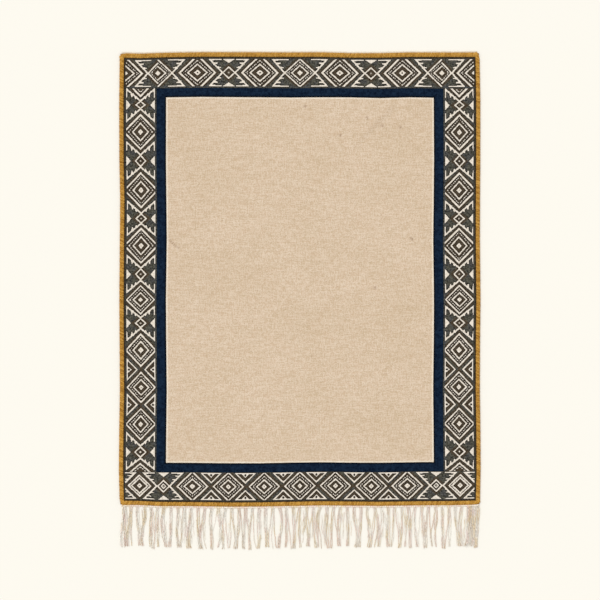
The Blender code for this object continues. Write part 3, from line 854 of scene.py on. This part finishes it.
def make_tube(name, points, radius, sides, flat):
    """A closed tube along points: flat is its thickness as a share of its width."""
    points = np.asarray(points, dtype=float)
    ways = np.gradient(points, axis=0)
    ways /= np.linalg.norm(ways, axis=1)[:, None]
    wide = np.tile([1.0, 0.0, 0.0], (len(points), 1))
    wide -= ways * np.sum(wide * ways, axis=1)[:, None]
    wide /= np.linalg.norm(wide, axis=1)[:, None]
    thick = np.cross(ways, wide)
    angles = np.arange(sides) * 2 * math.pi / sides
    rings = [
        point + radius * (math.cos(a) * w + flat * math.sin(a) * t)
        for point, w, t in zip(points, wide, thick)
        for a in angles
    ]
    faces = []
    for i in range(len(points) - 1):
        for k in range(sides):
            m = (k + 1) % sides
            faces.append([i * sides + k, i * sides + m, (i + 1) * sides + m, (i + 1) * sides + k])
    faces.append(list(range(sides))[::-1])
    faces.append([(len(points) - 1) * sides + k for k in range(sides)])
    return make_object(name, rings, faces)


def make_core(side):
    """What the turns go round: the solid, but narrower and lower by about a yarn, and with round corners."""
    outer, inner = strip_ends(side, RUG, BINDING_INNER)
    outer_line, low, high = outer
    inner_line, in_low, in_high = inner
    base = 0.0 if side in UPRIGHT else CLOTH_THICK + GAP
    # Share of the binding's width from its outer edge, and height
    section = [
        (0.12, base + 0.2), (0.12, BINDING_TOP - 2.6), (0.25, BINDING_TOP - 1.3), (0.5, BINDING_TOP - 1.0),
        (0.75, BINDING_TOP - 1.3), (0.89, BINDING_TOP - 2.6), (0.89, CLOTH_THICK + GAP),
    ]  # fmt: skip
    if side in UPRIGHT:
        section += [(0.17, CLOTH_THICK + GAP), (0.17, 0.2)]
    places = steps(0, 1, 1 / CORE_STEPS)
    rings = []
    for place in places:
        for share, height in section:
            start = low + (in_low - low) * share + MITRE_CUT
            stop = high + (in_high - high) * share - MITRE_CUT
            along = start + (stop - start) * place
            across = outer_line + (inner_line - outer_line) * share
            corner = CORNER_CUT * max(0, 1 - min(along - low, high - along) / CORNER_LENGTH) * (1 - share)
            across += math.copysign(corner, inner_line - outer_line)
            rings.append((across, along, height) if side in UPRIGHT else (along, across, height))
    rings = np.array(rings)
    rings[:, 0], rings[:, 1] = lie(rings[:, 0], rings[:, 1])
    count = len(section)
    faces = [
        [i * count + k, i * count + (k + 1) % count, (i + 1) * count + (k + 1) % count, (i + 1) * count + k]
        for i in range(len(places) - 1)
        for k in range(count)
    ]
    faces += [list(range(count))[::-1], [(len(places) - 1) * count + k for k in range(count)]]
    if side in ("right", "bottom"):
        faces = [face[::-1] for face in faces]
    return make_object(f"binding_core_{side}", rings, faces, gold_finish)


def make_turn(side, width):
    """One turn of yarn: over the crown, and on the sides down to the floor."""
    half = width / 2
    start = TURN_INSET[side] - half
    foot = 0.9 if side in UPRIGHT else CLOTH_THICK + GAP - 0.2
    path = [
        (start, foot), (start, BINDING_TOP - 2.6), (start + 2.0, BINDING_TOP - 1.1), (0, BINDING_TOP - 0.75),
        (half - 2.4, BINDING_TOP - 1.0), (half - 1.3, BINDING_TOP - 2.1),
        (half - 1.2, CLOTH_THICK + GAP + 0.4),
    ]  # fmt: skip
    points = [(WHIP_SLANT * y / width, y, z) for y, z in path]
    return make_tube(f"turn_{side}", points, WHIP_RADIUS, WHIP_SIDES, WHIP_FLAT)


def lay_binding(side, tree):
    outer, inner = strip_ends(side, RUG, BINDING_INNER)
    core = make_core(side)
    turn = make_turn(side, abs(inner[0] - outer[0]))

    # The guide runs anticlockwise, so that a turn's own +Y points to the field
    middle, start, stop = ((a + b) / 2 for a, b in zip(outer, inner))
    length = stop - start
    along = np.unique(np.concatenate([
        np.linspace(0, 12, 7), np.linspace(12, length - 12, round(length / 12)),
        np.linspace(length - 12, length, 7),
    ]))  # fmt: skip
    near_start, near_stop = (np.clip(1 - away / FAN_LENGTH, 0, 1) for away in (along, length - along))
    fan = near_start * FAN_TURN - near_stop * FAN_TURN
    stretch = 1 / np.cos(fan * 0.8)
    if side in ("top", "left"):
        along, fan, stretch = along[::-1], -fan[::-1], stretch[::-1]
    line = np.full(len(along), middle)
    x, y = lie(line, start + along) if side in UPRIGHT else lie(start + along, line)
    points = np.stack([x, y, np.zeros(len(x))], axis=-1)
    guide = make_guide(f"guide_{side}", [points], fan=[fan], stretch=[stretch])
    darkest, lightest = TURN_TONES[side]
    given = {"Core": core, "Turn": turn, "Darkest turn": darkest, "Lightest turn": lightest}
    return grow(f"gold_whipping_{side}", guide, tree, (core, turn), given)


# The fringe

FRINGE_LENGTH = 134.0
SEED = 7
YARNS_IN_LOCK = 3
# How many yarns each tuft has at its tips, from left to right
TUFTS = (
    5, 1, 6, 1, 3, 2, 6, 4, 5, 5, 1, 3, 2, 3, 2, 4, 3, 3, 4, 4, 1, 4, 2, 5,
    2, 4, 4, 1, 5, 4, 3, 6, 4, 1, 3, 6, 3, 2, 3, 3, 4, 2, 2, 4, 2, 9, 3,
)  # fmt: skip
# The yarns of a lock touch. The solid's stand 5.2 and 4.2 mm apart, so that they stay separate
ROOT_PITCH = 3.9
TIP_PITCH = 3.7
ROOT_MARGIN = 4.0
TUFT_STRAY = 4.0
YARN_STRAY = 1.5
SWAY = 2.6
SWAY_PERIODS = (31.0, 83.0)
LOCK_BOW = 4.2
LOCK_TURN = 2.0
YARN_BOW = 0.9

YARN_TWIST = 24.0
PLY_RADIUS = 1.0
PLY_APART = 0.66
PLY_SIDES = 5
YARN_MIDDLE = 2.1
YARN_SEGMENT = 4.0
# Past these places along the end the yarns are thicker and more worn
BULKY_PAST = (-568.0, 547.0)
BULKY_THICK = 1.12
BULKY_TONE = 0.22
# Columns: where an extra yarn of a corner's lock starts, where it ends, and how far it bows to the right
CORNER_YARNS = (
    (-584, -597, -3), (-583, -593, -4), (-578, -585, -3),
    (596, 590, 1), (592, 584, 1), (588, 580, 0), (582, 575, 1), (576, 571, 0), (571, 566, 1), (565, 562, 0),
    (560, 558, 0), (556, 554, 0), (597, 586, 2),
)  # fmt: skip
WISPS = 80

KNOT_PITCH = 7.5
KNOT_HEIGHT = 0.25
HEADING_FRONT = RUG.bottom - HEADING_SHOWS
# Places along a yarn, as shares of its length from its root
SHARE = np.linspace(0, 1, 25)
EASED = SHARE * SHARE * (3 - 2 * SHARE)


def yarn_lines():
    """Root, tip and length of every yarn, as the solid has them."""
    count = sum(TUFTS)
    lock_pitch = (RUG_WIDTH - 2 * ROOT_MARGIN) / (count // YARNS_IN_LOCK)
    roots = []
    for i in range(count):
        lock, place = divmod(i, YARNS_IN_LOCK)
        middle = RUG.left + ROOT_MARGIN + (lock + 0.5) * lock_pitch
        roots.append(middle + (place - (YARNS_IN_LOCK - 1) / 2) * ROOT_PITCH)
    chance = random.Random(SEED)
    tips = []
    for tuft in TUFTS:
        members = roots[len(tips) : len(tips) + tuft]
        middle = sum(members) / tuft
        length = FRINGE_LENGTH + chance.uniform(-TUFT_STRAY, TUFT_STRAY)
        for place in range(tuft):
            x = middle + (place - (tuft - 1) / 2) * TIP_PITCH
            tips.append((x, length + chance.uniform(-YARN_STRAY, YARN_STRAY)))
    return [(root, *tip) for root, tip in zip(roots, tips)]


def sway(x, share):
    """How far the yarns near x lean sideways together."""
    short, long = SWAY_PERIODS
    return SWAY * np.sin(x / short + 2.2 * np.sin(x / long)) * np.sin(np.pi * share)


def fringe_tree():
    tree, given = new_tree(
        "two-ply yarns along lines",
        (
            ("Heading", "Object", None),
            ("Step", "Float", YARN_SEGMENT * MM),
            ("Twist", "Float", 2 * math.pi / (YARN_TWIST * MM)),
            ("Ply radius", "Float", PLY_RADIUS * MM),
            ("Ply offset", "Float", PLY_APART * MM),
        ),
    )
    line = add_node(tree, "GeometryNodeMeshToCurve", {0: given["Geometry"]})
    points = add_node(tree, "GeometryNodeResampleCurve", {0: line, "Length": given["Step"]}, mode="LENGTH")
    phase, thick = (
        add_node(tree, "GeometryNodeInputNamedAttribute", {"Name": name}, data_type="FLOAT")
        for name in ("phase", "thick")
    )
    run = add_node(tree, "GeometryNodeSplineParameter").outputs["Length"]
    angle = {0: run, 1: given["Twist"], 2: phase}
    angle = add_node(tree, "ShaderNodeMath", angle, operation="MULTIPLY_ADD")
    tilted = add_node(tree, "GeometryNodeSetCurveTilt", {0: points, "Tilt": angle})
    sized = add_node(tree, "GeometryNodeSetCurveRadius", {0: tilted, "Radius": thick})
    ply = {"Resolution": PLY_SIDES, "Radius": given["Ply radius"]}
    ply = add_node(tree, "GeometryNodeCurvePrimitiveCircle", ply)
    plies = []
    for side in (-1.0, 1.0):
        aside = add_node(tree, "ShaderNodeMath", {0: given["Ply offset"], 1: side}, operation="MULTIPLY")
        aside = add_node(tree, "ShaderNodeCombineXYZ", {"X": aside})
        plies.append(add_node(tree, "GeometryNodeTransform", {0: ply, "Translation": aside}))
    section = add_node(tree, "GeometryNodeJoinGeometry", {0: plies})
    swept = {"Curve": sized, "Profile Curve": section, "Scale": thick, "Fill Caps": True}
    yarns = add_node(tree, "GeometryNodeCurveToMesh", swept)
    heading = add_node(tree, "GeometryNodeObjectInfo", {"Object": given["Heading"]}).outputs["Geometry"]
    both = add_node(tree, "GeometryNodeJoinGeometry", {0: [yarns, heading]})
    real = add_node(tree, "GeometryNodeRealizeInstances", {0: both})
    finished = add_node(tree, "GeometryNodeSetMaterial", {0: real, "Material": warp_finish})
    add_node(tree, "NodeGroupOutput", {0: finished})
    return tree


def make_heading():
    """The strip that the yarns grow from, knotted along its length."""
    x = steps(RUG.left + HEADING_INSET, RUG.right - HEADING_INSET, 2.4)
    y = np.array([HEADING_FRONT, HEADING_FRONT + 1.4, HEADING_FRONT + 3.4, RUG.bottom + HEADING_TUCK])
    x, y = np.meshgrid(x, y)
    knots = np.sin(x * 2 * np.pi / KNOT_PITCH)
    z = CLOTH_THICK + KNOT_HEIGHT * knots - np.array([0.8, 0.0, 0.2, 0.0])[:, None]
    lie_x, lie_y = lie(x, y)
    heading = lay_grid("fringe_heading", lie_x, lie_y, z, 0.0, warp_finish)
    set_values(heading, "tone", "POINT", pad(heading.data.vertices, 0.45 + 0.35 * knots, 0.1))
    return heading


def make_yarn(x, y, z, tone, thick, phase):
    """A yarn's points where they lie, and its tone, its thickness and where its twist starts at each."""
    x, y = lie(x, y)
    each = np.ones(len(SHARE))
    return np.stack([x, y, z], axis=-1), tone * each, thick * each, phase * each


def lock_yarns(chance):
    """The solid's yarns. Those of a lock bow alike, and their tips are worn."""
    for number, (root, tip, length) in enumerate(yarn_lines()):
        if number % YARNS_IN_LOCK == 0:
            lock_bow, lock_turn = chance.normal(0, LOCK_BOW), chance.normal(0, LOCK_TURN)
        bow = (lock_bow + chance.normal(0, YARN_BOW)) * np.sin(np.pi * SHARE)
        bow += lock_turn * np.sin(2 * np.pi * SHARE)
        wander = 0.6 * np.sin(SHARE * 17 + root)
        wander += 0.8 * np.sin(SHARE * 6.5 + root * 2.3) * np.sin(np.pi * SHARE)
        x = root + (tip - root) * EASED + sway(root, SHARE) + bow + wander
        x = np.clip(x, RUG.left + 1, RUG.right - 1)
        y = HEADING_FRONT + 1.2 - (length + 1.2) * SHARE
        z = YARN_MIDDLE + 0.25 * np.sin(SHARE * 11 + root * 1.7)
        bulky = root < BULKY_PAST[0] or root > BULKY_PAST[1]
        worn = np.clip((SHARE - 0.8) / 0.2, 0, 1) ** 2 * chance.uniform(0.1, 0.8)
        tone = np.clip(chance.uniform(0.0, 0.55) + BULKY_TONE * bulky + worn, 0, 1)
        thick = (BULKY_THICK if bulky else chance.uniform(0.8, 1.12)) * (1 - 0.25 * SHARE**6)
        yield make_yarn(x, y, z, tone, thick, chance.uniform(0, 6.28))


def corner_yarns(chance):
    """The extra yarns of the corners' locks."""
    for root, tip, bow in CORNER_YARNS:
        x = root + (tip - root) * EASED + bow * np.sin(np.pi * SHARE) + 0.7 * np.sin(SHARE * 14 + root)
        y = HEADING_FRONT + 1.2 - (FRINGE_LENGTH + chance.uniform(-3, 4)) * SHARE
        z = YARN_MIDDLE + 0.7 + 0.3 * np.sin(SHARE * 9 + root)
        tone = np.clip(chance.uniform(0, 0.5) + 0.2 * np.sin(SHARE * 5 + root), 0, 1)
        yield make_yarn(x, y, z, tone, chance.uniform(0.8, 1.0), chance.uniform(0, 6.28))


def wisps(chance):
    """Thin loose strands between the locks."""
    for _ in range(WISPS):
        root = chance.uniform(RUG.left + 8, RUG.right - 8)
        drift = chance.normal(0, 9)
        start = chance.uniform(0, 0.45)
        stop = start + (1 - start) * chance.uniform(0.5, 1.0)
        run = start + (stop - start) * SHARE
        x = root + drift * run + sway(root, run) + 1.2 * np.sin(SHARE * chance.uniform(6, 14) + root)
        x = np.clip(x, RUG.left + 4, RUG.right - 4)
        y = HEADING_FRONT + 1 - (FRINGE_LENGTH - 3) * run
        z = chance.uniform(1.5, 3.2) + 0.4 * np.sin(SHARE * 9 + root)
        yield make_yarn(x, y, z, chance.uniform(0.0, 0.5), chance.uniform(0.35, 0.65), 0.0)


def lay_fringe():
    heading = make_heading()
    chance = np.random.default_rng(SEED)
    yarns = [*lock_yarns(chance), *corner_yarns(chance), *wisps(chance)]
    lines, tones, thicks, phases = zip(*yarns)
    guide = make_guide("fringe_lines", lines, tone=tones, thick=thicks, phase=phases)
    return grow("warp_fringe_yarns", guide, fringe_tree(), (heading,), {"Heading": heading})


# The pieces, and the solids they stand for

cloth = lay_field()
bands = {side: lay_band(side) for side in WIDTHS}
tapes = {side: lay_tape(side) for side in WIDTHS}
whipping = whipping_tree()
bindings = {side: lay_binding(side, whipping) for side in WIDTHS}
fringe = lay_fringe()

for side in WIDTHS:
    for piece, node, slot in (
        (bands[side], "diamond_band", "charcoal_band"),
        (tapes[side], "navy_tape", "navy_tape"),
        (bindings[side], "gold_binding", "gold_binding"),
    ):
        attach(piece, "root")
        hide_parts(f"{node}_{side}")
for piece, node, slot in ((cloth, "ground_cloth", "cream_cloth"), (fringe, "fringe", "warp_fringe")):
    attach(piece, "root")
    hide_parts(node)


# The stage

FLOOR_HALF = 6000.0
CAMERA_HEIGHT = 5.54 + 4 * MM  # metres


def make_stage():
    """A plain pale floor, a soft even light, and a camera straight above."""
    corners = [(x * FLOOR_HALF, y * FLOOR_HALF, 0) for x, y in ((-1, -1), (1, -1), (1, 1), (-1, 1))]
    floor = make_object("studio_floor", corners, [[0, 1, 2, 3]])
    paint = bpy.data.materials.new("matt studio floor")
    paint.use_nodes = True
    shader = paint.node_tree.nodes["Principled BSDF"]
    shader.inputs["Base Color"].default_value = linear("#f0ede4")
    shader.inputs["Roughness"].default_value = 1.0
    shader.inputs["Specular IOR Level"].default_value = 0.0
    floor.data.materials.append(paint)

    world = bpy.data.worlds.new("studio")
    world.use_nodes = True
    background = world.node_tree.nodes["Background"]
    background.inputs["Color"].default_value = (1.0, 0.995, 0.985, 1)
    background.inputs["Strength"].default_value = 0.85
    bpy.context.scene.world = world

    sun = bpy.data.lights.new("softbox", "SUN")
    sun.energy = 1.24
    sun.angle = math.radians(35)
    lamp = bpy.data.objects.new("softbox", sun)
    lamp.rotation_euler = (math.radians(-38), math.radians(-22), 0)
    bpy.context.scene.collection.objects.link(lamp)

    lens = bpy.data.cameras.new("overhead camera")
    lens.lens = 100
    lens.sensor_width = 36
    lens.clip_end = 100
    camera = bpy.data.objects.new("overhead camera", lens)
    camera.location = (0.3 * MM, -0.3 * MM, CAMERA_HEIGHT)
    bpy.context.scene.collection.objects.link(camera)
    bpy.context.scene.camera = camera
    bpy.context.scene.view_settings.view_transform = "Standard"


make_stage()
